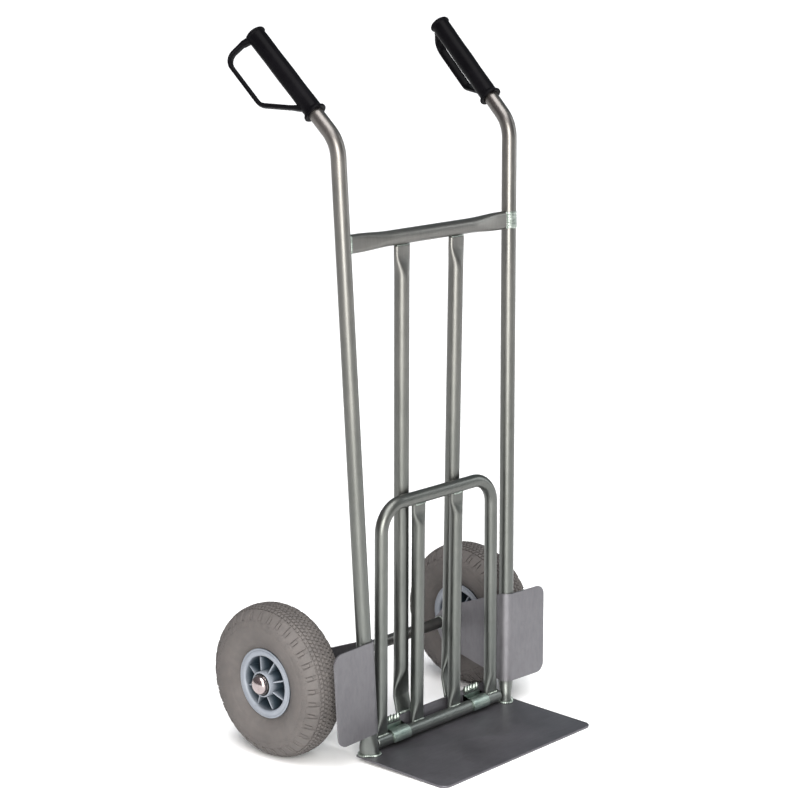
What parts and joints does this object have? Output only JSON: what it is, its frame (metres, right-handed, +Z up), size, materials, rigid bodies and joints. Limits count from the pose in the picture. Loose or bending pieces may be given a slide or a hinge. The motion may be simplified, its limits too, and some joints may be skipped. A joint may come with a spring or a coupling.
{
  "type": "hand truck",
  "caption": "Welded tube hand truck with fixed toe plate, folding load extension, foam-tyred wheels on one axle and swept-back grips with knuckle guards.",
  "frame": {"origin": "on the floor under the middle of the truck's bounding box, with the front edge of the toe plate and both tyres resting on the floor", "axes": "+Z up, +Y back towards the person who pushes it, +X across to the truck's right wheel"},
  "size_m": [0.5884, 0.452, 1.1982],
  "materials": {
    "tube_steel": "bare drawn steel under clear lacquer, satin",
    "toe_steel": "dark mill-finish plate, satin",
    "bracket_steel": "mid grey mill-finish sheet, matt",
    "zinc_steel": "bright zinc, slightly greenish",
    "axle_steel": "plain dark bar steel",
    "tyre_foam": "matt warm grey foam with block tread",
    "rim_plastic": "pale blue-grey moulded plastic, satin",
    "grip_plastic": "black moulded plastic, slight sheen",
    "cap_chrome": "bright plated pressed cap"
  },
  "bodies": {
    "frame": {"left_upright": "tube_steel", "right_upright": "tube_steel", "left_foot_plug": "tube_steel", "right_foot_plug": "tube_steel", "upper_crossbar": "tube_steel", "left_ladder_bar": "tube_steel", "right_ladder_bar": "tube_steel", "toe_plate": "toe_steel", "left_axle_bracket": "bracket_steel", "right_axle_bracket": "bracket_steel", "axle": "axle_steel", "left_hinge_strap": "zinc_steel", "right_hinge_strap": "zinc_steel", "frame_welds": "zinc_steel", "left_grip": "grip_plastic", "right_grip": "grip_plastic", "left_spacers": "axle_steel", "right_spacers": "axle_steel", "left_hub_cap": "cap_chrome", "right_hub_cap": "cap_chrome"},
    "folding_frame": {"hinge_tube": "tube_steel", "fold_hoop": "tube_steel", "left_fold_bar": "tube_steel", "right_fold_bar": "tube_steel", "fold_welds": "zinc_steel"},
    "left_wheel": {"left_tyre": "tyre_foam", "left_rim": "rim_plastic", "left_bearings": "axle_steel"},
    "right_wheel": {"right_tyre": "tyre_foam", "right_rim": "rim_plastic", "right_bearings": "axle_steel"}
  },
  "joints": [
    {"name": "folding_frame_hinge", "type": "hinge", "parent": "frame", "child": "folding_frame", "pos_m": [0, -0.04181, 0.025], "axis": [1, 0, 0], "range_deg": [0, 88]},
    {"name": "left_wheel_spin", "type": "hinge", "parent": "frame", "child": "left_wheel", "pos_m": [-0.2407, 0.09599, 0.13], "axis": [1, 0, 0], "continuous": true},
    {"name": "right_wheel_spin", "type": "hinge", "parent": "frame", "child": "right_wheel", "pos_m": [0.2407, 0.09599, 0.13], "axis": [1, 0, 0], "continuous": true}
  ]
}
